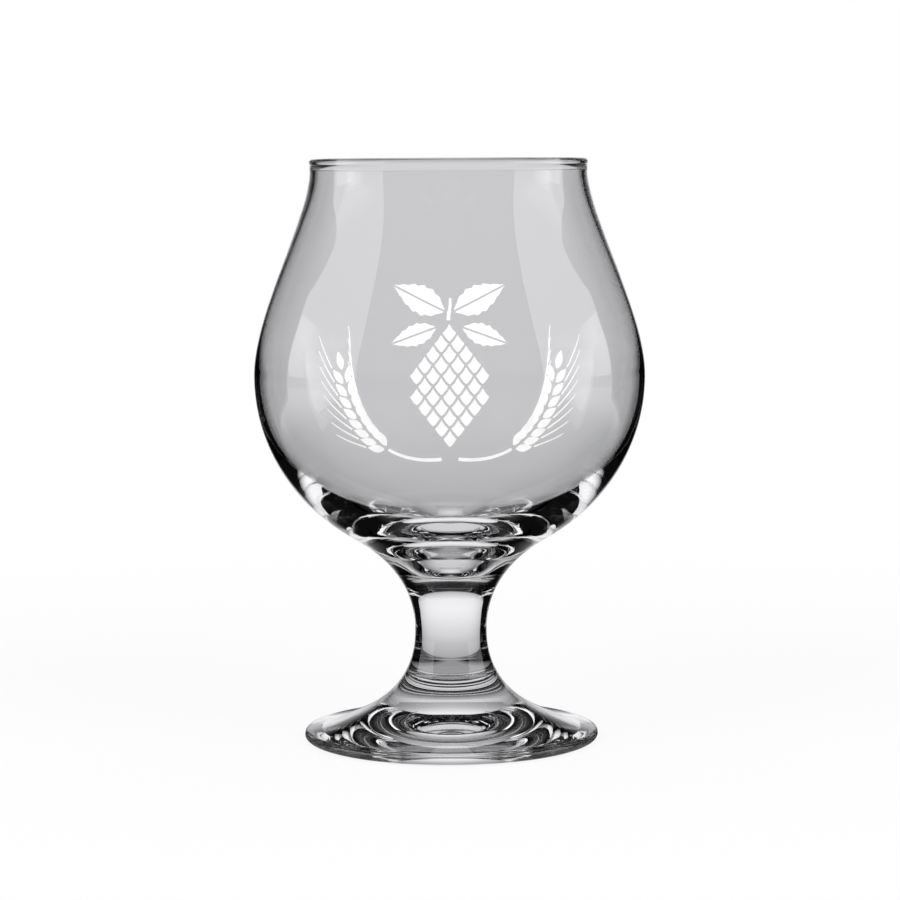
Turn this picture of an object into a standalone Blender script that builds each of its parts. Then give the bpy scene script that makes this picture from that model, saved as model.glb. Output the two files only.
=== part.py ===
"""Stemmed tulip beer glass: a blown bowl, a solid waisted stem and a pressed foot, fused end to end.

One outline runs down the outside of the whole glass, from the lip to the edge of the foot. Each piece takes
the stretch of it between its own joints and is turned about the Z axis. The table is at Z = 0.
"""

import math

import bpy
from mathutils import Vector
from mathutils.geometry import interpolate_bezier

# Heights of the pieces and of what lies on them, in metres
FOOT_HEIGHT = 0.0173  # table to the joint under the stem
STEM_LENGTH = 0.025  # joint to joint
WAIST_RISE = 0.0101  # stem's lower joint to its narrowest place
BOWL_HEIGHT = 0.1038  # stem's upper joint to the top of the lip
BELLY_RISE = 0.0495  # stem's upper joint to the widest place
NECK_DROP = 0.0029  # top of the lip down to the straight of the neck
BASE_GLASS = 0.0018  # solid glass between the stem's upper joint and the lowest place inside
DIMPLE_DEPTH = 0.0065  # round dimple in the middle of the floor inside
HOLLOW_RISE = 0.0021  # how far above the belly the inside is widest
FUSE_GAP = 0.0003  # clearance at each fused joint

# Diameters
FOOT_DIAMETER = 0.0742
WAIST_DIAMETER = 0.0181
BELLY_DIAMETER = 0.098
NECK_DIAMETER = 0.0693
DIMPLE_DIAMETER = 0.0202  # at its rim

# Walls and edges
LIP_THICKNESS = 0.0018  # fire-polished bead
LIP_PROUD = 0.0002  # how far the bead stands out from the neck
NECK_WALL = 0.0015
BELLY_WALL = 0.0011  # thinnest, where the inside is widest
FOOT_EDGE = 0.0025  # full round
CONTACT_WIDTH = 0.0038  # flat ring that the glass stands on
RECESS_DEPTH = 0.005  # hollow under the foot

# Shape of the curves between those places
UNDERSIDE_LIFT = 0.0027  # how far above the stem's joint the belly's lower half, an ellipse, would close
UNDERSIDE_TURN = math.radians(57.5)  # where it passes into the flare of the stem
NECK_FULLNESS = 0.215  # shares of the rise from belly to neck that each end holds its direction for
SHOULDER_FULLNESS = 0.315
FLARE_REACH = 0.0065  # how far the underside's direction holds into the flare
FLARE_FULLNESS = 0.60  # share of the climb from waist to underside that stays upright
STEM_FULLNESS = 0.60  # share of the drop from waist to foot edge that stays upright
FOOT_REACH = 0.0155  # how far the foot's slope holds inwards from its edge
FOOT_SLOPE = math.radians(12.0)
HOLLOW_FULLNESS = 0.622  # share of the way from the dimple's rim to the belly inside that stays upright
RIM_REACH = 0.087  # share of that way for which the rim keeps its slope
DIMPLE_SLOPE = math.radians(41.5)  # of its wall at the rim
DIMPLE_STEEPNESS = 0.51  # shares of its radius that its wall and its bottom hold their direction for
DIMPLE_FLATNESS = 0.59

# Facets
ROUND_STEPS = 48
LIP_STEPS = 4
SHOULDER_STEPS = 16
UNDERSIDE_STEPS = 10
FLARE_STEPS = 12
FOOT_STEPS = 14
EDGE_STEPS = 6
HOLLOW_STEPS = 14
DIMPLE_STEPS = 8
RECESS_STEPS = 8
MERGE_DISTANCE = 1e-5

GLASS_COLOUR = (0.93, 0.95, 0.95, 1.0)
GLASS_ROUGHNESS = 0.02
GLASS_IOR = 1.52

# Places that follow from the sizes above, as (radius, height)
FOOT_JOINT = FOOT_HEIGHT
BOWL_JOINT = FOOT_HEIGHT + STEM_LENGTH
LIP_TOP = BOWL_JOINT + BOWL_HEIGHT
FLOOR = BOWL_JOINT + BASE_GLASS
UNDERSIDE_DROP = BELLY_RISE - UNDERSIDE_LIFT
WAIST = Vector((WAIST_DIAMETER / 2, FOOT_HEIGHT + WAIST_RISE))
BELLY = Vector((BELLY_DIAMETER / 2, BOWL_JOINT + BELLY_RISE))
NECK = Vector((NECK_DIAMETER / 2, LIP_TOP - NECK_DROP))
EDGE_RADIUS = FOOT_EDGE / 2
EDGE_CENTRE = Vector((FOOT_DIAMETER / 2 - EDGE_RADIUS, EDGE_RADIUS))
LIP_RADIUS = LIP_THICKNESS / 2
LIP_CENTRE = Vector((NECK.x + LIP_PROUD - LIP_RADIUS, LIP_TOP - LIP_RADIUS))
UP = Vector((0, 1))


def curve(start, start_handle, end_handle, end, steps):
    """Points of a cubic curve, both ends included."""
    return interpolate_bezier(start, start_handle, end_handle, end, steps + 1)


def arc(centre, radius, first, last, steps):
    """Points of a round edge from one angle to another, both ends included."""
    angles = [first + (last - first) * i / steps for i in range(steps + 1)]
    return [centre + radius * Vector((math.cos(a), math.sin(a))) for a in angles]


def shoulder(neck, belly, steps):
    """The S-curve from the neck down to the belly, upright at both ends."""
    rise = neck.y - belly.y
    return curve(neck, neck - NECK_FULLNESS * rise * UP, belly + SHOULDER_FULLNESS * rise * UP, belly, steps)


def underside():
    """The lower half of the belly, down to where the flare takes over."""
    angles = [UNDERSIDE_TURN * i / UNDERSIDE_STEPS for i in range(UNDERSIDE_STEPS + 1)]
    return [Vector((BELLY.x * math.cos(a), BELLY.y - UNDERSIDE_DROP * math.sin(a))) for a in angles]


def flare(start):
    """The hollow curve from the underside in to the waist."""
    along = Vector((-BELLY.x * math.sin(UNDERSIDE_TURN), -UNDERSIDE_DROP * math.cos(UNDERSIDE_TURN)))
    upright = WAIST + FLARE_FULLNESS * (start.y - WAIST.y) * UP
    return curve(start, start + FLARE_REACH * along.normalized(), upright, WAIST, FLARE_STEPS)


def foot_top():
    """The curve from the waist out over the foot to its edge."""
    edge = EDGE_CENTRE + EDGE_RADIUS * UP
    inwards = FOOT_REACH * Vector((-math.cos(FOOT_SLOPE), math.sin(FOOT_SLOPE)))
    upright = WAIST - STEM_FULLNESS * (WAIST.y - edge.y) * UP
    return curve(WAIST, upright, edge + inwards, edge, FOOT_STEPS)


def outside():
    """The whole outline from the neck down to the top of the foot's edge."""
    under = underside()
    return [*shoulder(NECK, BELLY, SHOULDER_STEPS), *under[1:], *flare(under[-1])[1:], *foot_top()[1:]]


def crossing(points, height):
    """Where a falling outline passes a height."""
    for upper, lower in zip(points, points[1:]):
        if upper.y >= height > lower.y:
            return upper.lerp(lower, (upper.y - height) / (upper.y - lower.y))
    raise ValueError(f"the outline doesn't reach {height:.4f} m")


def stretch(points, high, low):
    """The part of a falling outline between two heights."""
    near = MERGE_DISTANCE * 10
    middle = [p for p in points if low + near < p.y < high - near]
    return [crossing(points, high), *middle, crossing(points, low)]


def lip():
    """The bead, from its inner side over the top to where it meets the neck."""
    meets = -math.acos(1 - LIP_PROUD / LIP_RADIUS)
    inner = arc(LIP_CENTRE, LIP_RADIUS, math.pi, math.pi / 2, LIP_STEPS)
    outer = arc(LIP_CENTRE, LIP_RADIUS, math.pi / 2, meets, LIP_STEPS)
    return [*inner, *outer[1:]]


def hollow():
    """The inside of the bowl, from the middle of its dimple up to the neck."""
    inner_belly = BELLY + Vector((-BELLY_WALL, HOLLOW_RISE))
    inner_neck = NECK - Vector((NECK_WALL, 0))
    middle = Vector((0, FLOOR))
    rim = Vector((DIMPLE_DIAMETER / 2, FLOOR + DIMPLE_DEPTH))
    slope = Vector((math.cos(DIMPLE_SLOPE), math.sin(DIMPLE_SLOPE)))
    flat = middle + Vector((DIMPLE_FLATNESS * rim.x, 0))
    dimple = curve(middle, flat, rim - DIMPLE_STEEPNESS * rim.x * slope, rim, DIMPLE_STEPS)
    way = (inner_belly - rim).length
    upright = inner_belly - HOLLOW_FULLNESS * way * UP
    bottom = curve(rim, rim + RIM_REACH * way * slope, upright, inner_belly, HOLLOW_STEPS)
    return [*dimple, *bottom[1:], *reversed(shoulder(inner_neck, inner_belly, SHOULDER_STEPS)[:-1])]


def bowl_profile():
    base = BOWL_JOINT + FUSE_GAP / 2
    down = stretch(outside(), NECK.y - MERGE_DISTANCE, base)
    return [*hollow(), *lip(), *down, Vector((0, base))]


def stem_profile():
    top, base = BOWL_JOINT - FUSE_GAP / 2, FOOT_JOINT + FUSE_GAP / 2
    return [Vector((0, top)), *stretch(outside(), top, base), Vector((0, base))]


def foot_profile():
    top = FOOT_JOINT - FUSE_GAP / 2
    edge = arc(EDGE_CENTRE, EDGE_RADIUS, math.pi / 2, -math.pi / 2, EDGE_STEPS)
    ring = Vector((EDGE_CENTRE.x - CONTACT_WIDTH, 0))
    crown = Vector((0, RECESS_DEPTH))
    recess = curve(ring, ring.lerp(crown, 1 / 3), crown + ring / 3, crown, RECESS_STEPS)
    side = stretch(outside(), top, EDGE_CENTRE.y + EDGE_RADIUS + MERGE_DISTANCE)
    return [Vector((0, top)), *side[:-1], *edge, *recess]


def glass_material(name):
    """Clear soda-lime glass."""
    material = bpy.data.materials.new(name)
    material.use_nodes = True
    shader = material.node_tree.nodes["Principled BSDF"]
    shader.inputs["Base Color"].default_value = GLASS_COLOUR
    shader.inputs["Roughness"].default_value = GLASS_ROUGHNESS
    shader.inputs["Metallic"].default_value = 0.0
    shader.inputs["IOR"].default_value = GLASS_IOR
    shader.inputs["Transmission Weight"].default_value = 1.0
    return material


def turned(name, profile, base, parent):
    """A piece turned about the Z axis, standing with its origin at the height of its lower joint."""
    mesh = bpy.data.meshes.new(name)
    points = [(p.x, 0, p.y - base) for p in profile]
    mesh.from_pydata(points, [(i, i + 1) for i in range(len(points) - 1)], [])
    mesh.materials.append(glass_material(f"{name}_glass"))
    piece = bpy.data.objects.new(name, mesh)
    bpy.context.scene.collection.objects.link(piece)
    piece.parent = parent
    piece.location.z = base
    screw = piece.modifiers.new("turn", "SCREW")
    screw.axis = "Z"
    screw.angle = math.tau
    screw.steps = screw.render_steps = ROUND_STEPS
    screw.use_merge_vertices = True
    screw.merge_threshold = MERGE_DISTANCE
    screw.use_smooth_shade = True
    return piece


def main():
    for item in list(bpy.data.objects):
        bpy.data.objects.remove(item)
    glass = bpy.data.objects.new("tulip_glass", None)
    bpy.context.scene.collection.objects.link(glass)
    turned("foot", foot_profile(), 0, glass)
    turned("stem", stem_profile(), FOOT_JOINT, glass)
    turned("bowl", bowl_profile(), BOWL_JOINT, glass)


main()
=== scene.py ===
import math

import bmesh
import bpy
from mathutils import Matrix, Vector
from mathutils.geometry import interpolate_bezier

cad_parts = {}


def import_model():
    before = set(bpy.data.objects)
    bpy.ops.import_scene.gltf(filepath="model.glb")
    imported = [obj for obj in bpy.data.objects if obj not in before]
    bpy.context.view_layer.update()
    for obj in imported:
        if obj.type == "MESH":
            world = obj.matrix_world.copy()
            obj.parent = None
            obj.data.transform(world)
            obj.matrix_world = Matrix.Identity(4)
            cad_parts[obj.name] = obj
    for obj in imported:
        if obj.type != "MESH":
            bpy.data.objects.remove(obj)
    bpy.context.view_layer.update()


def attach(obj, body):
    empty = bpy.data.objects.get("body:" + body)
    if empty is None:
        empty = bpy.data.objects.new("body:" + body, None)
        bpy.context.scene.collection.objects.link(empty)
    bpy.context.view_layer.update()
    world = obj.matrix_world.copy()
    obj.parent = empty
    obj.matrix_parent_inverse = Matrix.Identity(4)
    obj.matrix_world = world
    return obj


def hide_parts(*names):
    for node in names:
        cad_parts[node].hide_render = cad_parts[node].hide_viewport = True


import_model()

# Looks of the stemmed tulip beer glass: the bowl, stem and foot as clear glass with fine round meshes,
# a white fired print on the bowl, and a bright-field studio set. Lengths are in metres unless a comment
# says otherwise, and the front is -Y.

# Heights of the pieces of glass and of what lies on them
FOOT_HEIGHT = 0.0173  # table to the joint under the stem
STEM_LENGTH = 0.025  # joint to joint
WAIST_RISE = 0.0101  # stem's lower joint to its narrowest place
BOWL_HEIGHT = 0.1038  # stem's upper joint to the top of the lip
BELLY_RISE = 0.0495  # stem's upper joint to the widest place
NECK_DROP = 0.0029  # top of the lip down to the straight of the neck
BASE_GLASS = 0.0018  # solid glass between the stem's upper joint and the lowest place inside
DIMPLE_DEPTH = 0.0065  # round dimple in the middle of the floor inside
HOLLOW_RISE = 0.0021  # how far above the belly the inside is widest

# Diameters
FOOT_DIAMETER = 0.0742
WAIST_DIAMETER = 0.0181
BELLY_DIAMETER = 0.098
NECK_DIAMETER = 0.0693
DIMPLE_DIAMETER = 0.0202  # at its rim

# Walls and edges
LIP_THICKNESS = 0.0018
LIP_PROUD = 0.0002  # how far the bead of the lip stands out from the neck
NECK_WALL = 0.0015
BELLY_WALL = 0.0011
FOOT_EDGE = 0.0025
CONTACT_WIDTH = 0.0038  # flat ring that the glass stands on
RECESS_DEPTH = 0.005  # hollow under the foot

# Shape of the curves between those places
UNDERSIDE_LIFT = 0.0027  # how far above the stem's joint the belly's lower half, an ellipse, would close
UNDERSIDE_TURN = math.radians(57.5)  # where it passes into the flare of the stem
NECK_FULLNESS = 0.215  # shares of the rise from belly to neck that each end holds its direction for
SHOULDER_FULLNESS = 0.315
FLARE_REACH = 0.0065  # how far the underside's direction holds into the flare
FLARE_FULLNESS = 0.60  # share of the climb from waist to underside that stays upright
STEM_FULLNESS = 0.60  # share of the drop from waist to foot edge that stays upright
FOOT_REACH = 0.0155  # how far the foot's slope holds inwards from its edge
FOOT_SLOPE = math.radians(12.0)
HOLLOW_FULLNESS = 0.622  # share of the way from the dimple's rim to the belly inside that stays upright
RIM_REACH = 0.087  # share of that way for which the rim keeps its slope
DIMPLE_SLOPE = math.radians(41.5)  # of its wall at the rim
DIMPLE_STEEPNESS = 0.51  # shares of its radius that its wall and its bottom hold their direction for
DIMPLE_FLATNESS = 0.59

# The faint ridge that fusing leaves round each joint
SEAM_HEIGHT = 0.00005
SEAM_WIDTH = 0.00022
SEAM_REACH = 3 * SEAM_WIDTH  # to where the ridge has run out
SEAM_CLEAR = 1.05 * SEAM_REACH  # from where the outline has its own points again
SEAM_STEPS = 12

# Facets
ROUND_STEPS = 280
CURVE_STEPS = 56
LIP_STEPS = 12
EDGE_STEPS = 16
RECESS_STEPS = 20
JOIN_STEP = 1e-5  # the outer outline is cut this far short of its ends, at the neck and the foot's edge
CUT_CLEAR = 2e-6  # the outline's points keep this far from a cut
SAME_PLACE = 1e-7
ON_AXIS = 1e-8
GLASS_SLOT = 0
JOINT_SLOT = 1

# Places that follow from the sizes above; a vector is (radius, height)
FOOT_JOINT = FOOT_HEIGHT
BOWL_JOINT = FOOT_HEIGHT + STEM_LENGTH
LIP_TOP = BOWL_JOINT + BOWL_HEIGHT
BOWL_FLOOR = BOWL_JOINT + BASE_GLASS
UNDERSIDE_DROP = BELLY_RISE - UNDERSIDE_LIFT
WAIST = Vector((WAIST_DIAMETER / 2, FOOT_HEIGHT + WAIST_RISE))
BELLY = Vector((BELLY_DIAMETER / 2, BOWL_JOINT + BELLY_RISE))
NECK = Vector((NECK_DIAMETER / 2, LIP_TOP - NECK_DROP))
EDGE_RADIUS = FOOT_EDGE / 2
EDGE_CENTRE = Vector((FOOT_DIAMETER / 2 - EDGE_RADIUS, EDGE_RADIUS))
LIP_RADIUS = LIP_THICKNESS / 2
LIP_CENTRE = Vector((NECK.x + LIP_PROUD - LIP_RADIUS, LIP_TOP - LIP_RADIUS))
UP = Vector((0, 1))
DOWN = -UP

# Surfaces of the glass and of the print
GLASS_IOR = 1.52
WAVE_SCALE = 75
WAVE_DETAIL = 1.0
WAVE_HEIGHT = 0.00003
ENAMEL_IOR = 1.5
ENAMEL_DARK = (0.86, 0.86, 0.85, 1)
ENAMEL_LIGHT = (0.92, 0.92, 0.915, 1)
ENAMEL_ROUGHNESS = (0.32, 0.5)
CLOUD_SCALE = 420
CLOUD_DETAIL = 4.0
CLOUD_SPAN = (0.3, 0.6)  # values of the noise that have the dark and the light tone
SCREEN_SCALE = 2600  # marks of the printing screen
SCREEN_STRENGTH = 0.25
SCREEN_HEIGHT = 0.00001

# How the print lies on the glass
PRINT_MIDDLE = 0.0925  # height of its middle
PRINT_LIFT = 0.000012
PRINT_THICKNESS = 0.00004
PRINT_GRID = 0.0015  # cells that let it bend round the bowl
PRINT_CUT = 1e-8  # a point nearer than this to a cell's edge counts as on it
MILLIMETRE = 0.001

# Artwork of the print, in millimetres about its middle
CONE_ROWS = (1, 2, 3, 4, 5, 4, 5, 4, 3, 2, 1)  # scales in each row of the hop cone, from the top
CONE_TOP = 13.0
SCALE_PITCH = 3.9
SCALE_DROP = 2.5
SCALE_FILL = 0.8  # share of its place that a scale fills
SCALE_BULGE = 0.5
SCALE_STEPS = 6
LEAF_TEETH = 6
LEAF_TOOTH = 0.16  # depth of a tooth as a share of the leaf's half width there
LEAF_SWELL = 0.8  # under 1, the leaf is widest nearer to its stalk
LEAF_LEAST = 0.28  # least distance of the toothed edge from the leaf's middle line
LEAF_RIB = 0.224  # half width of the bare midrib
LEAF_HEEL = 0.4  # where the midrib starts
LEAF_TIP = 0.97  # share of the leaf's length where it ends
STALK = (Vector((2.0, -17.0)), Vector((14.0, -18.5)), Vector((23.0, -11.5)), Vector((26.5, 3.0)))
STALK_STEPS = 40
STALK_WIDTHS = (0.9, 0.7)  # of a line at its start and its end
FIRST_GRAIN = 17  # point of the stalk
GRAIN_EVERY = 3
GRAIN_LENGTH = 4.4
GRAIN_WIDTH = 1.9
GRAIN_LEAN = math.radians(27)
GRAIN_ASIDE = 0.5
GRAIN_STEPS = 9
GRAIN_SWELL = 0.85
TOP_GRAIN_LENGTH = 4.6
TOP_GRAIN_WIDTH = 2.0
TOP_GRAIN_AHEAD = 1.0
BEARD_START = 4.8  # from the grain's foot
BEARD_REACH = 6.0
BEARD_BEND = 2.6
BEARD_STEPS = 6
BEARD_WIDTHS = (0.4, 0.2)
BEARD_LEAN = 0.6  # shares of the grain's lean that the beard keeps on its way and at its end
BEARD_END_LEAN = 0.2
TWIG_HEIGHTS = (15.9, 17, 18, 19, 20, 21)
TWIG_SWAY = 0.25
TWIG_RATE = 0.7
TWIG_WIDTHS = (0.9, 0.6)

# The camera, at the view of the photograph
CAMERA_PLACE = (0, -0.7564, 0.1495)
CAMERA_PITCH = math.radians(84.229)
CAMERA_ROLL = math.radians(-0.31)
CAMERA_LENS = 120.887  # millimetres
CAMERA_SENSOR = 36.0  # millimetres
CAMERA_NEAR = 0.01

# The studio. A list of pairs gives stops: a distance, height or bearing, and what holds there.
# A bearing is in degrees from straight behind the glass, to either side.
WHITE = (1, 1, 1, 1)
# the level of black cloth, and of painted shade on the tent and the table
BLACK = 0.004
AMBIENT = 0.75  # soft light on the floor and the print
PAPER_TINT = (0.995, 0.995, 1.02, 1)

TENT_RADIUS = 2.4
TENT_TILT = 89.5  # degrees up and down
TENT_BANDS = 12
TENT_SIDES = 32

# Sweep behind the glass, and a copy with levels of its own that only the glass's reflections show: a
# painted reflection
SWEEP_SPREAD = math.radians(35.5)
SWEEP_LIFT = 0.0002  # over the table
SWEEP_COLUMNS = 12
WALL_AT = 1.05
WALL_CURVE = 0.2  # radius between the floor and the wall
WALL_CURVE_STEPS = 8
WALL_FROM = 0.03  # height from which the levels of the wall hold
SWEEP_FLOOR_ROWS = (0.1, 0.12, 0.15, 0.2, 0.3, 0.4, 0.5, 0.6, 0.7)
SWEEP_WALL_ROWS = (0.3, 0.4, 0.47, 0.6, 0.7, 0.9, 1.1, 1.3)
# Painted light: levels of the floor go by distance, of the wall by height and of the sides by bearing
SWEEP_FLOOR = ((0.1, 0.53), (0.2, 0.58), (0.5, 0.64), (0.85, 0.68), (1.05, 0.70))
SWEEP_WALL = ((0.0, 0.68), (0.16, 0.70), (0.6, 0.70), (0.7, 0.15), (1.3, 0.05))
SWEEP_SIDES = ((10, 1.0), (22, 0.8), (31, 0.5), (35.5, 0.25))
# Painted reflection: levels of the copy that only reflections show
SHEEN_FLOOR = ((0.1, 0.6), (0.3, 0.9), (1.05, 1.0))
SHEEN_WALL = ((0.0, 0.70), (0.1, 0.9), (0.2, 1.2), (0.3, 0.5), (0.4, 0.0))

# Table under the glass
TABLE_DROP = -0.0006
TABLE_SIDES = 120
TABLE_RINGS = {0.003, 0.031, 0.035, 0.04, 0.055, 0.08, 0.15, 0.25, 0.4}
# Painted light and shade by distance behind, beside and before the glass, and how they share by bearing:
# painted shade under and round the foot, and a bright ring behind it as a painted glint
TABLE_BEHIND = ((0.0, 0.3), (0.012, 0.32), (0.022, 0.36), (0.028, 0.05), (0.041, 0.05), (0.043, 0.9),
                (0.047, 0.9), (0.05, 0.25), (0.065, 0.46), (0.1, 0.53), (0.2, 0.58), (0.5, 0.64))
TABLE_BESIDE = ((0.0, BLACK), (0.024, BLACK), (0.028, 0.15), (0.032, 0.15), (0.036, BLACK),
                (0.2, BLACK), (0.3, 0.5), (0.5, 0.65))
TABLE_BEFORE = ((0.0, BLACK), (0.024, BLACK), (0.028, 0.3), (0.032, 0.3), (0.036, BLACK), (0.5, BLACK))
# Painted reflections: levels beside and before the glass for the table's copy that only reflections show
SHEEN_BESIDE = ((0.0, 0.0), (0.155, 0.0), (0.23, 0.25), (0.4, 0.9), (0.53, 1.3))
SHEEN_BEFORE = ((0.0, 0.3), (0.25, 0.3), (0.5, 0.2))
TO_SIDE = ((12, 0), (38, 1))  # from the levels behind to those beside
# the flag's shade on the table is painted
PAST_FLAG = ((58, 0), (63, 1))  # out of the flag's shade
TO_FRONT = ((97, 0), (110, 1))  # from the levels beside to those before
# A painted glint: a bright patch on each side of the table, by distance and by bearing
GLINT_REACH = ((0.028, 0), (0.031, 1), (0.04, 1), (0.043, 0))
GLINT_BEARING = ((52, 0), (57, 1), (73, 1), (78, 0))
GLINT_LEVEL = 0.9

# Black flags, soft boxes and cards beside the glass
# The flag's density goes by distance aside, and the box's painted glow by height
FLAG = ((0.07, 0.0), (0.075, 0.25), (0.083, 0.8), (0.09, 1.0), (0.3, 1.0), (0.9, 1.0))
FLAG_AT = 0.146
FLAG_ROWS = (TABLE_DROP, 0.2, 0.7)
BOX_AT = 0.53
BOX_BACK = 0.152
BOX_FRONT = -0.385
BOX_FOOT = -0.35
BOX_TOP_BACK = 0.30
BOX_TOP_FRONT = 0.62
BOX_COLUMNS = 8
BOX_ROWS = 24
BOX_LEVEL = 2.0
BOX_FADE = ((BOX_FOOT, 0.0), (-0.05, 0.5), (0.1, 0.75), (0.25, 1.0))
CARD_BEARING = 81  # of its middle
CARD_SPREAD = 16
CARD_HEIGHT = 0.28
CARD_COLUMNS = 12
CARD_ROWS = 8
CARD_LEVEL = 1.35

# Small reflector close behind the stem that glows with painted light, with its half width and its level by
# height
REFLECTOR_AT = 0.0175
REFLECTOR_COLUMNS = 12
REFLECTOR_HALF = ((0.03, 0.0066), (0.0355, 0.0057), (0.0445, 0.0052))
REFLECTOR_FADE = ((0.036, 0.35), (0.0445, 0.2))  # share of its level that its sides lose
REFLECTOR = ((0.0128, 0.44), (0.0199, 0.57), (0.0239, 0.71), (0.0277, 0.81), (0.0317, 0.907),
             (0.0357, 0.96), (0.040, 0.92), (0.0445, 0.5))

# Lamps for the print and the floor
LAMP_PLACE = Vector((0.8, -0.8, 0.9))
LAMP_AIM = Vector((0, 0, 0.08))
LAMP_SIZE = 0.7
LAMP_ENERGY = 6.0

# Floor: paper near the glass, and white from there outwards
FLOOR_HALF = 4.0
FLOOR_DROP = -0.0003
FLOOR_NEAR = 0.14
FLOOR_FAR = 0.42
FLOOR_WHITENESS = 0.85  # near the glass
FLOOR_GRAIN = 900
FLOOR_TONES = (0.86, 0.90)


# Helpers

def spaced(first, last, count):
    """Even steps from first to last, both included."""
    return [first + (last - first) * i / count for i in range(count + 1)]


def circle(radius, height, count):
    """Points round the Z axis."""
    angles = [math.tau * i / count for i in range(count)]
    return [(radius * math.cos(a), radius * math.sin(a), height) for a in angles]


def bearing(x, y):
    """Degrees from straight behind the glass, to either side."""
    return abs(math.degrees(math.atan2(x, y)))


def graded(value, stops):
    """The level at a value, graded evenly between stops."""
    for (low, level_low), (high, level_high) in zip(stops, stops[1:]):
        if value <= high:
            share = min(max((value - low) / (high - low), 0), 1)
            return level_low + (level_high - level_low) * share
    return stops[-1][1]


def link(item):
    """The object, put into the scene."""
    bpy.context.scene.collection.objects.link(item)
    return item


def meshed(name, vertices, faces, materials):
    """A new mesh object in the scene."""
    mesh = bpy.data.meshes.new(name)
    mesh.from_pydata(vertices, [], faces)
    for material in materials:
        mesh.materials.append(material)
    return link(bpy.data.objects.new(name, mesh))


# Outline of the glass

def curve(start, start_handle, end_handle, end, count):
    """Points of a cubic curve, both ends included."""
    return interpolate_bezier(start, start_handle, end_handle, end, count + 1)


def arc(centre, radius, first, last, count):
    """Points of a round edge from one angle to another, both ends included."""
    return [centre + radius * Vector((math.cos(a), math.sin(a))) for a in spaced(first, last, count)]


def shoulder(neck, belly):
    """The S-curve from the neck down to the belly, upright at both ends."""
    rise = (neck.y - belly.y) * UP
    return curve(neck, neck - NECK_FULLNESS * rise, belly + SHOULDER_FULLNESS * rise, belly, CURVE_STEPS)


def underside():
    """The lower half of the belly, down to where the flare takes over."""
    turns = spaced(0, UNDERSIDE_TURN, CURVE_STEPS)
    return [Vector((BELLY.x * math.cos(a), BELLY.y - UNDERSIDE_DROP * math.sin(a))) for a in turns]


def flare(start):
    """The hollow curve from the underside in to the waist."""
    along = Vector((-BELLY.x * math.sin(UNDERSIDE_TURN), -UNDERSIDE_DROP * math.cos(UNDERSIDE_TURN)))
    upright = WAIST + FLARE_FULLNESS * (start.y - WAIST.y) * UP
    return curve(start, start + FLARE_REACH * along.normalized(), upright, WAIST, CURVE_STEPS)


def foot_top():
    """The curve from the waist out over the foot to its edge."""
    edge = EDGE_CENTRE + EDGE_RADIUS * UP
    inwards = FOOT_REACH * Vector((-math.cos(FOOT_SLOPE), math.sin(FOOT_SLOPE)))
    upright = WAIST - STEM_FULLNESS * (WAIST.y - edge.y) * UP
    return curve(WAIST, upright, edge + inwards, edge, CURVE_STEPS)


def outside():
    """The outer outline from the neck down to the top of the foot's edge."""
    under = underside()
    return [*shoulder(NECK, BELLY), *under[1:], *flare(under[-1])[1:], *foot_top()[1:]]


def hollow():
    """The inside of the bowl, from the middle of its dimple up to the neck."""
    inner_belly = BELLY + Vector((-BELLY_WALL, HOLLOW_RISE))
    inner_neck = NECK - Vector((NECK_WALL, 0))
    middle = Vector((0, BOWL_FLOOR))
    rim = Vector((DIMPLE_DIAMETER / 2, BOWL_FLOOR + DIMPLE_DEPTH))
    slope = Vector((math.cos(DIMPLE_SLOPE), math.sin(DIMPLE_SLOPE)))
    flat = middle + Vector((DIMPLE_FLATNESS * rim.x, 0))
    dimple = curve(middle, flat, rim - DIMPLE_STEEPNESS * rim.x * slope, rim, CURVE_STEPS)
    way = (inner_belly - rim).length
    upright = inner_belly - HOLLOW_FULLNESS * way * UP
    bottom = curve(rim, rim + RIM_REACH * way * slope, upright, inner_belly, CURVE_STEPS)
    return [*dimple, *bottom[1:], *reversed(shoulder(inner_neck, inner_belly)[:-1])]


def lip():
    """The bead, from its inner side over the top to where it meets the neck."""
    meets = -math.acos(1 - LIP_PROUD / LIP_RADIUS)
    inner = arc(LIP_CENTRE, LIP_RADIUS, math.pi, math.pi / 2, LIP_STEPS)
    outer = arc(LIP_CENTRE, LIP_RADIUS, math.pi / 2, meets, LIP_STEPS)
    return [*inner, *outer[1:]]


# Runs: stretches of an outline as (point, side) pairs, where the side is the outward direction

def run(points):
    """An outline with its sides, from each point's neighbours."""
    last = len(points) - 1
    pairs = []
    for i, point in enumerate(points):
        step = points[min(i + 1, last)] - points[max(i - 1, 0)]
        pairs.append((point, Vector((-step.y, step.x)).normalized()))
    return pairs


def crossing(points, height):
    """Which step of a falling outline passes a height, and at what share of the step."""
    for i, (upper, lower) in enumerate(zip(points, points[1:])):
        if upper.y >= height > lower.y:
            return i, (upper.y - height) / (upper.y - lower.y)
    return len(points) - 2, 1.0


def point_at(points, height):
    """Where a falling outline passes a height."""
    i, share = crossing(points, height)
    return points[i].lerp(points[i + 1], share)


def between(pairs, high, low):
    """The stretch of a run between two heights, cut exactly there."""
    def cut(height):
        i, share = crossing([p for p, _ in pairs], height)
        (upper, side_a), (lower, side_b) = pairs[i:i + 2]
        return upper.lerp(lower, share), side_a.lerp(side_b, share).normalized()
    middle = [(p, s) for p, s in pairs if low + CUT_CLEAR < p.y < high - CUT_CLEAR]
    return [cut(high), *middle, cut(low)]


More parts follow.
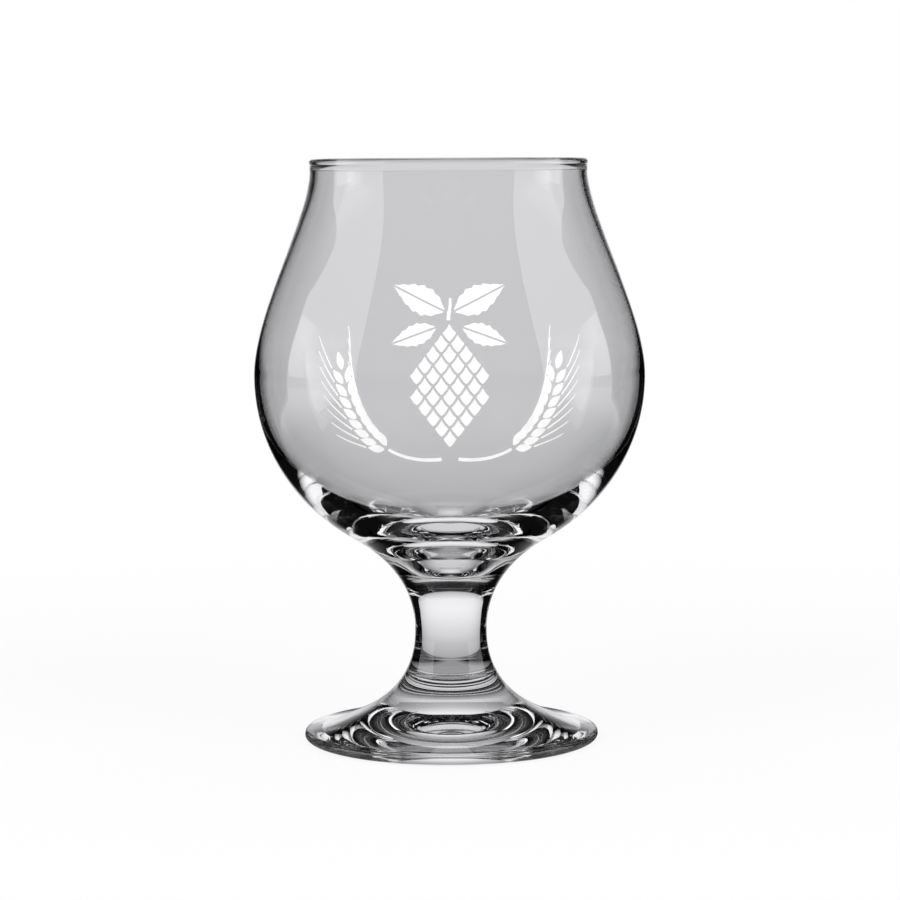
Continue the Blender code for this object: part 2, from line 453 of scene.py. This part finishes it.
def seamed(points):
    """The run of the outer outline with the ridge of each fused joint on it."""
    joints = (BOWL_JOINT, FOOT_JOINT)
    offsets = spaced(-SEAM_REACH, SEAM_REACH, 2 * SEAM_STEPS)
    kept = [p for p in points if all(abs(p.y - joint) > SEAM_CLEAR for joint in joints)]
    added = [point_at(points, joint - offset) for joint in joints for offset in offsets]
    lifted = []
    for point, side in run(sorted([*kept, *added], key=lambda p: -p.y)):
        ridge = sum(math.exp(-(((point.y - joint) / SEAM_WIDTH) ** 2)) for joint in joints)
        lifted.append(point + SEAM_HEIGHT * ridge * side)
    return run(lifted)


def cap(radius, height, facing):
    """A flat face of a fused joint, between the axis and the outline."""
    ends = [Vector((0, height)), Vector((radius, height))]
    if facing.y < 0:
        ends.reverse()
    return [(end, facing) for end in ends]


def bowl_runs(pairs):
    """The bowl from the middle of its floor over the lip and down, and then its joint."""
    inner = run([*hollow(), *lip()])
    inner[0] = (inner[0][0], UP)
    outer = between(pairs, NECK.y - JOIN_STEP, BOWL_JOINT)
    base = cap(outer[-1][0].x, BOWL_JOINT, DOWN)
    return [(inner + outer, GLASS_SLOT), (base, JOINT_SLOT)]


def stem_runs(pairs):
    """The stem, with a joint at each end."""
    outer = between(pairs, BOWL_JOINT, FOOT_JOINT)
    top = cap(outer[0][0].x, BOWL_JOINT, UP)
    base = cap(outer[-1][0].x, FOOT_JOINT, DOWN)
    return [(top, JOINT_SLOT), (outer, GLASS_SLOT), (base, JOINT_SLOT)]


def foot_runs(pairs):
    """The foot from its joint over the edge, along the flat ring and into the hollow underneath."""
    outer = between(pairs, FOOT_JOINT, EDGE_CENTRE.y + EDGE_RADIUS + JOIN_STEP)
    top = cap(outer[0][0].x, FOOT_JOINT, UP)
    edge = run(arc(EDGE_CENTRE, EDGE_RADIUS, math.pi / 2, -math.pi / 2, EDGE_STEPS))
    ring = Vector((EDGE_CENTRE.x - CONTACT_WIDTH, 0))
    contact = [(edge[-1][0], DOWN), (ring, DOWN)]
    crown = Vector((0, RECESS_DEPTH))
    recess = run(curve(ring, ring.lerp(crown, 1 / 3), crown + ring / 3, crown, RECESS_STEPS))
    recess[-1] = (crown, DOWN)
    return [(top, JOINT_SLOT), (outer[:-1] + edge, GLASS_SLOT), (contact, GLASS_SLOT), (recess, GLASS_SLOT)]


def joined(runs):
    """The points of all runs without repeats, and each run as (number of its point, side) pairs."""
    points = []
    rows = []
    for pairs, slot in runs:
        row = []
        for point, side in pairs:
            if not points or (points[-1] - point).length > SAME_PLACE:
                points.append(point)
            row.append((len(points) - 1, side))
        rows.append((row, slot))
    return points, rows


def turned(name, runs, materials):
    """A closed piece turned about the Z axis from its runs; each run is smooth and has one material."""
    points, rows = joined(runs)
    vertices = []
    first = []
    for point in points:
        first.append(len(vertices))
        vertices += [(0, 0, point.y)] if point.x < ON_AXIS else circle(point.x, point.y, ROUND_STEPS)

    def corner(pair, step):
        """The vertex of a run's pair after some steps of the turn, and its normal."""
        number, side = pair
        angle = math.tau * step / ROUND_STEPS
        normal = (side.x * math.cos(angle), side.x * math.sin(angle), side.y)
        on_ring = 0 if points[number].x < ON_AXIS else step % ROUND_STEPS
        return first[number] + on_ring, normal

    faces = []
    slots = []
    normals = []
    for row, slot in rows:
        for upper, lower in zip(row, row[1:]):
            if upper[0] == lower[0]:
                continue
            for j in range(ROUND_STEPS):
                face = [corner(upper, j), corner(lower, j), corner(lower, j + 1), corner(upper, j + 1)]
                if face[1][0] == face[2][0]:
                    face.pop(2)
                if face[0][0] == face[-1][0]:
                    face.pop()
                faces.append([vertex for vertex, _ in face])
                slots.append(slot)
                normals += [normal for _, normal in face]
    piece = meshed(name, vertices, faces, materials)
    piece.data.polygons.foreach_set("material_index", slots)
    piece.data.polygons.foreach_set("use_smooth", [True] * len(faces))
    piece.data.normals_split_custom_set(normals)
    piece.data.update()
    return piece


# Materials

class Graph:
    """Shorthand for building a node tree."""

    def __init__(self, tree):
        self.tree = tree
        tree.nodes.clear()

    def node(self, kind, values=None, **settings):
        """A node with its settings, and with constants on its own sockets."""
        item = self.tree.nodes.new(kind)
        for key, setting in settings.items():
            setattr(item, key, setting)
        for socket, value in (values or {}).items():
            item.inputs[socket].default_value = value
        return item

    def link(self, source, target):
        self.tree.links.new(source, target)

    def mixed(self, share, first, second):
        """First where share is 0 and second where it is 1."""
        mix = self.node("ShaderNodeMixShader")
        self.link(share, mix.inputs["Fac"])
        self.link(first, mix.inputs[1])
        self.link(second, mix.inputs[2])
        return mix.outputs["Shader"]

    def show(self, surface, kind="ShaderNodeOutputMaterial"):
        """Ends the tree with its output."""
        self.link(surface, self.node(kind).inputs["Surface"])


def material_graph(name):
    """A new material and its empty node tree."""
    material = bpy.data.materials.new(name)
    material.use_nodes = True
    return material, Graph(material.node_tree)


def clear_glass(name):
    """Soda-lime glass: clear, with the slow waves of blown and pressed glass in its surface."""
    material, graph = material_graph(name)
    shader = graph.node("ShaderNodeBsdfPrincipled", {
        "Base Color": WHITE, "Roughness": 0.0, "IOR": GLASS_IOR, "Transmission Weight": 1.0})
    place = graph.node("ShaderNodeTexCoord")
    waves = graph.node("ShaderNodeTexNoise", {"Scale": WAVE_SCALE, "Detail": WAVE_DETAIL})
    bump = graph.node("ShaderNodeBump", {"Strength": 1.0, "Distance": WAVE_HEIGHT})
    graph.link(place.outputs["Object"], waves.inputs["Vector"])
    graph.link(waves.outputs["Fac"], bump.inputs["Height"])
    graph.link(bump.outputs["Normal"], shader.inputs["Normal"])
    graph.show(shader.outputs["BSDF"])
    return material


def fused_joint(name):
    """The inside of a fused joint, where glass meets glass and nothing shows."""
    material, graph = material_graph(name)
    shader = graph.node("ShaderNodeBsdfPrincipled", {"Alpha": 0.0, "Roughness": 0.0, "IOR": GLASS_IOR})
    graph.show(shader.outputs["BSDF"])
    return material


def fired_enamel(name):
    """White enamel print, slightly uneven as screen printing leaves it."""
    material, graph = material_graph(name)
    shader = graph.node("ShaderNodeBsdfPrincipled", {"IOR": ENAMEL_IOR})
    place = graph.node("ShaderNodeTexCoord")
    cloud = graph.node("ShaderNodeTexNoise", {"Scale": CLOUD_SCALE, "Detail": CLOUD_DETAIL})
    tone = graph.node("ShaderNodeValToRGB")
    dark, light = tone.color_ramp.elements
    dark.color = ENAMEL_DARK
    dark.position = CLOUD_SPAN[0]
    light.color = ENAMEL_LIGHT
    light.position = CLOUD_SPAN[1]
    gloss = graph.node("ShaderNodeMapRange", {"To Min": ENAMEL_ROUGHNESS[0], "To Max": ENAMEL_ROUGHNESS[1]})
    marks = graph.node("ShaderNodeTexNoise", {"Scale": SCREEN_SCALE})
    bump = graph.node("ShaderNodeBump", {"Strength": SCREEN_STRENGTH, "Distance": SCREEN_HEIGHT})
    graph.link(place.outputs["Object"], cloud.inputs["Vector"])
    graph.link(place.outputs["Object"], marks.inputs["Vector"])
    graph.link(cloud.outputs["Fac"], tone.inputs["Fac"])
    graph.link(cloud.outputs["Fac"], gloss.inputs["Value"])
    graph.link(marks.outputs["Fac"], bump.inputs["Height"])
    graph.link(tone.outputs["Color"], shader.inputs["Base Color"])
    graph.link(gloss.outputs["Result"], shader.inputs["Roughness"])
    graph.link(bump.outputs["Normal"], shader.inputs["Normal"])
    graph.show(shader.outputs["BSDF"])
    return material


def set_painted_glow(name):
    """Paper of the set as painted light: it glows as bright as its mesh says, and gives soft light after a
    dull surface.
    """
    material, graph = material_graph(name)
    level = graph.node("ShaderNodeAttribute", attribute_name="glow")
    lit = graph.node("ShaderNodeEmission", {"Color": PAPER_TINT})
    soft = graph.node("ShaderNodeEmission", {"Strength": AMBIENT})
    path = graph.node("ShaderNodeLightPath")
    graph.link(level.outputs["Fac"], lit.inputs["Strength"])
    graph.show(graph.mixed(path.outputs["Diffuse Depth"], lit.outputs[0], soft.outputs[0]))
    return material


def set_cloth(name):
    """Black cloth of the set, as dense as its mesh says."""
    material, graph = material_graph(name)
    density = graph.node("ShaderNodeAttribute", attribute_name="glow")
    clear = graph.node("ShaderNodeBsdfTransparent")
    black = graph.node("ShaderNodeEmission", {"Strength": BLACK})
    graph.show(graph.mixed(density.outputs["Fac"], clear.outputs[0], black.outputs[0]))
    return material


def floor_paper(name):
    """Pale paper that keeps the shadow, and that the camera sees fade to white."""
    material, graph = material_graph(name)
    place = graph.node("ShaderNodeTexCoord")
    speckle = graph.node("ShaderNodeTexNoise", {"Scale": FLOOR_GRAIN})
    tone = graph.node("ShaderNodeMapRange", {"To Min": FLOOR_TONES[0], "To Max": FLOOR_TONES[1]})
    bare = graph.node("ShaderNodeBsdfDiffuse")
    white = graph.node("ShaderNodeEmission")
    reach = graph.node("ShaderNodeVectorMath", operation="LENGTH")
    spread = {"From Min": FLOOR_NEAR, "From Max": FLOOR_FAR, "To Min": FLOOR_WHITENESS, "To Max": 1.0}
    fade = graph.node("ShaderNodeMapRange", spread, interpolation_type="SMOOTHSTEP")
    path = graph.node("ShaderNodeLightPath")
    graph.link(place.outputs["Object"], speckle.inputs["Vector"])
    graph.link(place.outputs["Object"], reach.inputs[0])
    graph.link(speckle.outputs["Fac"], tone.inputs["Value"])
    graph.link(tone.outputs["Result"], bare.inputs["Color"])
    graph.link(reach.outputs["Value"], fade.inputs["Value"])
    seen = graph.mixed(fade.outputs["Result"], bare.outputs[0], white.outputs[0])
    graph.show(graph.mixed(path.outputs["Is Camera Ray"], bare.outputs[0], seen))
    return material


# Print: a hop cone between two ears of barley, drawn flat and then laid on the bowl

def placed(shape, origin, angle):
    """The shape turned and moved to its place."""
    turn = Matrix.Rotation(angle, 2)
    return [turn @ p + origin for p in shape]


def mirrored(shape):
    """The shape on the other hand."""
    return [Vector((-p.x, p.y)) for p in reversed(shape)]


def ribbon(points, width_start, width_end):
    """A tapering line along points."""
    halves = spaced(width_start / 2, width_end / 2, len(points) - 1)
    left = []
    right = []
    for (point, side), half in zip(run(points), halves):
        left.append(point + half * side)
        right.append(point - half * side)
    return left + right[::-1]


def hop_cone():
    """Rows of pointed scales like roof tiles, hanging tip down, with bare glass between them."""
    lower = []
    for share in spaced(0, 1, SCALE_STEPS):
        fall = SCALE_DROP * ((1 + SCALE_BULGE) * share - SCALE_BULGE * share**2)
        lower.append(Vector((SCALE_PITCH / 2 * (share - 1), -fall)))
    upper = [Vector((-SCALE_PITCH / 2 - p.x, SCALE_DROP + p.y)) for p in reversed(lower)]
    half = [*reversed(lower), *upper[1:]]
    scale = [SCALE_FILL * p for p in [*half, *mirrored(half[1:-1])]]
    shapes = []
    for row, count in enumerate(CONE_ROWS):
        for i in range(count):
            middle = Vector(((i - (count - 1) / 2) * SCALE_PITCH, CONE_TOP - row * SCALE_DROP))
            shapes.append([p + middle for p in scale])
    return shapes


def leaf(origin, angle, length, width):
    """Half leaves on both sides of a bare midrib, with toothed edges."""
    shapes = []
    for hand in (1, -1):
        edge = []
        for i, share in enumerate(spaced(0, 1, 3 * LEAF_TEETH)):
            swell = width / 2 * math.sin(math.pi * share**LEAF_SWELL)
            tooth = 1 - LEAF_TOOTH * (i % 3) / 2
            edge.append(Vector((length * share, hand * max(LEAF_LEAST, swell * tooth))))
        tip = Vector((length * LEAF_TIP, hand * LEAF_RIB))
        heel = Vector((LEAF_HEEL, hand * LEAF_RIB))
        shapes.append(placed([*edge, tip, heel], origin, angle))
    return shapes


def grain(length, width):
    """A pointed seed shape from the origin along +X."""
    upper = []
    for share in spaced(0, 1, GRAIN_STEPS):
        upper.append(Vector((length * share, width / 2 * math.sin(math.pi * share**GRAIN_SWELL))))
    lower = [Vector((p.x, -p.y)) for p in reversed(upper[1:-1])]
    return upper + lower


def beard(start, angle, lean):
    """The bristle that runs on from a grain and bends towards the stalk's direction."""
    tip = start + Matrix.Rotation(angle + lean, 2) @ Vector((BEARD_START, 0))
    reach = Matrix.Rotation(angle + lean * BEARD_LEAN, 2) @ Vector((BEARD_REACH, 0))
    bend = Matrix.Rotation(angle + lean * BEARD_END_LEAN, 2) @ Vector((BEARD_BEND, 0))
    line = curve(tip, tip + reach / 2, tip + reach, tip + reach + bend, BEARD_STEPS)
    return ribbon(line, *BEARD_WIDTHS)


def barley_ear():
    """The right-hand ear: a bending stalk, grains in two rows and a beard on each grain."""
    stalk = curve(*STALK, STALK_STEPS)
    shapes = [ribbon(stalk[:FIRST_GRAIN], *STALK_WIDTHS)]
    for index in range(FIRST_GRAIN, STALK_STEPS + 1, GRAIN_EVERY):
        heading = (stalk[min(index + 1, STALK_STEPS)] - stalk[index - 1]).normalized()
        angle = math.atan2(heading.y, heading.x)
        for hand in (1, -1):
            lean = hand * GRAIN_LEAN
            start = stalk[index] + GRAIN_ASIDE * hand * Vector((-heading.y, heading.x))
            shapes.append(placed(grain(GRAIN_LENGTH, GRAIN_WIDTH), start, angle + lean))
            shapes.append(beard(start, angle, lean))
    top = stalk[-1] + TOP_GRAIN_AHEAD * heading
    shapes.append(placed(grain(TOP_GRAIN_LENGTH, TOP_GRAIN_WIDTH), top, angle))
    return shapes


def motif():
    """All shapes of the print."""
    right = barley_ear()
    right += leaf(Vector((1.2, 18.0)), math.radians(26), length=13.5, width=7.0)
    right += leaf(Vector((3.2, 14.2)), math.radians(-20), length=11.5, width=5.2)
    twig = [Vector((TWIG_SWAY * math.sin(TWIG_RATE * y), y)) for y in TWIG_HEIGHTS]
    return [*hop_cone(), *right, *(mirrored(shape) for shape in right), ribbon(twig, *TWIG_WIDTHS)]


def flat_print():
    """The motif in small cells: its points, its faces and the edges of its rim."""
    sheet = bmesh.new()
    for shape in motif():
        sheet.faces.new([sheet.verts.new((p.x * MILLIMETRE, p.y * MILLIMETRE, 0)) for p in shape])
    bmesh.ops.recalc_face_normals(sheet, faces=sheet.faces[:])
    for face in sheet.faces:
        if face.normal.z < 0:
            face.normal_flip()
    bmesh.ops.triangulate(sheet, faces=sheet.faces[:], ngon_method="EAR_CLIP")
    for axis in (0, 1):
        extent = max(abs(v.co[axis]) for v in sheet.verts)
        cells = int(extent / PRINT_GRID) + 1
        across = Vector((0, 0, 0))
        across[axis] = 1
        for i in range(-cells, cells + 1):
            everything = sheet.verts[:] + sheet.edges[:] + sheet.faces[:]
            spot = (i + 0.5) * PRINT_GRID * across
            bmesh.ops.bisect_plane(sheet, geom=everything, plane_co=spot, plane_no=across, dist=PRINT_CUT)
    sheet.verts.index_update()
    points = [v.co.copy() for v in sheet.verts]
    faces = [[v.index for v in face.verts] for face in sheet.faces]
    rim = []
    for edge in sheet.edges:
        if len(edge.link_faces) == 1:
            loop = edge.link_loops[0]
            rim.append((loop.vert.index, loop.link_loop_next.vert.index))
    sheet.free()
    return points, faces, rim


def printed(name, pairs, material):
    """The motif as one thin layer, bent round the bowl."""
    points, front, rim = flat_print()
    profile = [p for p, _ in pairs]

    def bent(point, lift):
        height = PRINT_MIDDLE + point.y
        radius = point_at(profile, height).x
        angle = point.x / radius
        return (radius + lift) * math.sin(angle), -(radius + lift) * math.cos(angle), height

    count = len(points)
    vertices = [bent(p, PRINT_LIFT + PRINT_THICKNESS) for p in points]
    vertices += [bent(p, PRINT_LIFT) for p in points]
    back = [[i + count for i in reversed(face)] for face in front]
    walls = [[b, a, a + count, b + count] for a, b in rim]
    layer = meshed(name, vertices, front + back + walls, [material])
    layer.data.update()
    return layer


# Studio: the camera sees white paper, and the glass sees what a bright-field set puts round it.
# There are a grey sweep behind it, a table under it, black flags, soft boxes and cards beside it,
# and a reflector behind its stem, all painted light and shade. The set turns about the glass with the
# camera.

def photo_camera():
    """The camera at the view of the photograph."""
    item = link(bpy.data.objects.new("camera", bpy.data.cameras.new("camera")))
    item.location = CAMERA_PLACE
    aim = Matrix.Rotation(CAMERA_PITCH, 3, "X") @ Matrix.Rotation(CAMERA_ROLL, 3, "Z")
    item.rotation_euler = aim.to_euler()
    item.data.lens = CAMERA_LENS
    item.data.sensor_width = CAMERA_SENSOR
    item.data.clip_start = CAMERA_NEAR
    bpy.context.scene.camera = item
    return item


def studio_rig(target):
    """What carries the set, turned about the Z axis towards the camera."""
    carrier = link(bpy.data.objects.new("studio_rig", None))
    follow = carrier.constraints.new("LOCKED_TRACK")
    follow.target = target
    follow.track_axis = "TRACK_NEGATIVE_Y"
    follow.lock_axis = "LOCK_Z"
    return carrier


def set_piece(name, grid, level, closed=False, mirrored_only=False, through_only=False, material=None):
    """A sheet of the set from rows of points; level is its painted brightness, or a cloth's density, at a
    point.
    """
    width = len(grid[0])
    vertices = [point for row in grid for point in row]
    faces = []
    for i in range(len(grid) - 1):
        for j in range(width if closed else width - 1):
            k = (j + 1) % width
            faces.append((i * width + j, i * width + k, (i + 1) * width + k, (i + 1) * width + j))
    item = meshed(name, vertices, faces, [material or paper])
    glow = item.data.attributes.new("glow", "FLOAT", "POINT")
    glow.data.foreach_set("value", [level(*point) for point in vertices])
    item.parent = rig
    item.visible_camera = False
    item.visible_diffuse = False
    item.visible_shadow = False
    item.visible_transmission = not mirrored_only
    item.visible_glossy = not through_only


def tent():
    """A dark dome all round, above and below: painted shade wherever the glass sees no other piece of the
    set.
    """
    tilts = [math.radians(tilt) for tilt in spaced(-TENT_TILT, TENT_TILT, TENT_BANDS)]
    rings = [circle(TENT_RADIUS * math.cos(t), TENT_RADIUS * math.sin(t), TENT_SIDES) for t in tilts]
    set_piece("set_tent", rings, lambda x, y, z: BLACK, closed=True)


def sweep(name, ground, wall, **seen):
    """Grey paper from behind the glass up the wall, glowing with the painted light of its levels."""
    bend = WALL_AT - WALL_CURVE
    path = [(y, TABLE_DROP + SWEEP_LIFT) for y in (*SWEEP_FLOOR_ROWS, bend)]
    for angle in spaced(0, math.pi / 2, WALL_CURVE_STEPS)[1:]:
        path.append((bend + WALL_CURVE * math.sin(angle), WALL_CURVE * (1 - math.cos(angle))))
    path += [(WALL_AT, z) for z in SWEEP_WALL_ROWS]
    rows = []
    for y, z in path:
        half = y * math.tan(SWEEP_SPREAD)
        rows.append([(x, y, z) for x in spaced(-half, half, SWEEP_COLUMNS)])

    def level(x, y, z):
        middle = graded(z, wall) if z > WALL_FROM else graded(y, ground)
        return middle * graded(bearing(x, y), SWEEP_SIDES)
    set_piece(name, rows, level, **seen)


def table(name, behind, beside, before, **seen):
    """The paper under the glass, glowing with painted light from behind and from the front, with painted
    shade where the flags stand and round the foot.
    """
    def level(x, y, z):
        reach = math.hypot(x, y)
        turn = bearing(x, y)
        side = graded(turn, TO_SIDE)
        front = graded(turn, TO_FRONT)
        shaded = graded(reach, beside) * graded(turn, PAST_FLAG)
        back = graded(reach, behind) * (1 - side) + shaded * side
        glint = GLINT_LEVEL * graded(reach, GLINT_REACH) * graded(turn, GLINT_BEARING)
        return max(back * (1 - front) + graded(reach, before) * front, glint)

    reaches = {reach for stops in (behind, beside, before) for reach, _ in stops if reach > 0}
    rings = [circle(reach, TABLE_DROP, TABLE_SIDES) for reach in sorted(TABLE_RINGS | reaches)]
    set_piece(name, rings, level, closed=True, **seen)


def flag(name, hand):
    """Black cloth that shades one side as the glass sees it, thin at its inner edge; its shade on the table
    is painted.
    """
    rows = [[(hand * x, FLAG_AT, z) for x, _ in FLAG] for z in FLAG_ROWS]
    set_piece(name, rows, lambda x, y, z: graded(abs(x), FLAG), material=cloth)


def softbox(name, hand):
    """A tall glowing sheet on one side, higher towards the camera, seen only in reflections: a painted
    reflection that the bowl mirrors as a band.
    """
    places = spaced(BOX_BACK, BOX_FRONT, BOX_COLUMNS)
    tops = spaced(BOX_TOP_BACK, BOX_TOP_FRONT, BOX_COLUMNS)
    columns = []
    for y, top in zip(places, tops):
        columns.append([(hand * BOX_AT, y, z) for z in spaced(BOX_FOOT, top, BOX_ROWS)])
    set_piece(name, columns, lambda x, y, z: BOX_LEVEL * graded(z, BOX_FADE), mirrored_only=True)


def side_card(name, hand):
    """A card on one side that glows with painted light, bright in its middle and fading to both edges, and
    shows only through the glass.
    """
    columns = []
    for degrees in spaced(CARD_BEARING - CARD_SPREAD, CARD_BEARING + CARD_SPREAD, CARD_COLUMNS):
        turn = math.radians(degrees)
        x = hand * BOX_AT * math.sin(turn)
        y = BOX_AT * math.cos(turn)
        columns.append([(x, y, z) for z in spaced(0, CARD_HEIGHT, CARD_ROWS)])

    def level(x, y, z):
        off = (bearing(x, y) - CARD_BEARING) / CARD_SPREAD
        return CARD_LEVEL * max(0.0, 1 - off**2)
    set_piece(name, columns, level, through_only=True)


def reflector():
    """A small card close behind the stem that glows with painted light, seen only through the glass, and
    lifts its middle.
    """
    rows = []
    for z, _ in REFLECTOR:
        half = graded(z, REFLECTOR_HALF)
        rows.append([(x, REFLECTOR_AT, z) for x in spaced(-half, half, REFLECTOR_COLUMNS)])

    def level(x, y, z):
        off = x / graded(z, REFLECTOR_HALF)
        return graded(z, REFLECTOR) * (1 - graded(z, REFLECTOR_FADE) * off**2)
    set_piece("set_reflector", rows, level, through_only=True)


def lamp(name, hand):
    """A soft lamp in front of the glass, which the glass itself doesn't show."""
    data = bpy.data.lights.new(name, "AREA")
    data.shape = "SQUARE"
    data.size = LAMP_SIZE
    data.energy = LAMP_ENERGY
    item = link(bpy.data.objects.new(name, data))
    item.parent = rig
    item.location = Vector((hand * LAMP_PLACE.x, LAMP_PLACE.y, LAMP_PLACE.z))
    item.rotation_euler = (LAMP_AIM - item.location).to_track_quat("-Z", "Y").to_euler()
    item.visible_glossy = False
    item.visible_transmission = False


def floor():
    """The paper that the camera sees under the glass, and that the glass doesn't show."""
    signs = ((-1, -1), (1, -1), (1, 1), (-1, 1))
    corners = [(FLOOR_HALF * x, FLOOR_HALF * y, FLOOR_DROP) for x, y in signs]
    item = meshed("floor", corners, [(0, 1, 2, 3)], [floor_paper("floor_paper")])
    item.visible_glossy = False
    item.visible_transmission = False


def world():
    """White for the camera, and plain soft light on the floor and the print."""
    sky = bpy.data.worlds.new("studio")
    sky.use_nodes = True
    graph = Graph(sky.node_tree)
    white = graph.node("ShaderNodeBackground", {"Color": WHITE})
    soft = graph.node("ShaderNodeBackground", {"Color": WHITE, "Strength": AMBIENT})
    path = graph.node("ShaderNodeLightPath")
    seen = graph.mixed(path.outputs["Is Diffuse Ray"], white.outputs[0], soft.outputs[0])
    graph.show(seen, "ShaderNodeOutputWorld")
    bpy.context.scene.world = sky


# Glass and print

outline = seamed(outside())
fused = fused_joint("fused_joint")
bowl = turned("bowl_clear", bowl_runs(outline), [clear_glass("bowl_clear_glass"), fused])
stem = turned("stem_clear", stem_runs(outline), [clear_glass("stem_clear_glass"), fused])
foot = turned("foot_clear", foot_runs(outline), [clear_glass("foot_clear_glass"), fused])
for piece, node in ((bowl, "bowl"), (stem, "stem"), (foot, "foot")):
    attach(piece, "root")
    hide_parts(node)
garland = printed("bowl_print", outline, fired_enamel("white_fired_enamel"))
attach(garland, "root")

# Camera and studio

camera = photo_camera()
rig = studio_rig(camera)
# the set's paper glows with painted light
paper = set_painted_glow("set_painted_glow")
cloth = set_cloth("set_cloth")
tent()
sweep("set_sweep", SWEEP_FLOOR, SWEEP_WALL, through_only=True)
# a copy of the sweep that only reflections show, with painted reflections
sweep("set_sweep_sheen", SHEEN_FLOOR, SHEEN_WALL, mirrored_only=True)
table("set_table", TABLE_BEHIND, TABLE_BESIDE, TABLE_BEFORE, through_only=True)
# a copy of the table that only reflections show, with painted reflections
table("set_table_sheen", TABLE_BEHIND, SHEEN_BESIDE, SHEEN_BEFORE, mirrored_only=True)
for name, hand in (("left", -1), ("right", 1)):
    flag(f"set_flag_{name}", hand)
    softbox(f"set_softbox_{name}", hand)
    side_card(f"set_card_{name}", hand)
reflector()
for name, hand in (("left", -1), ("right", 1)):
    lamp(f"lamp_{name}", hand)
floor()
world()

scene = bpy.context.scene
scene.view_settings.view_transform = "Standard"
scene.cycles.max_bounces = 32
scene.cycles.glossy_bounces = 24
scene.cycles.transmission_bounces = 32
scene.cycles.transparent_max_bounces = 16
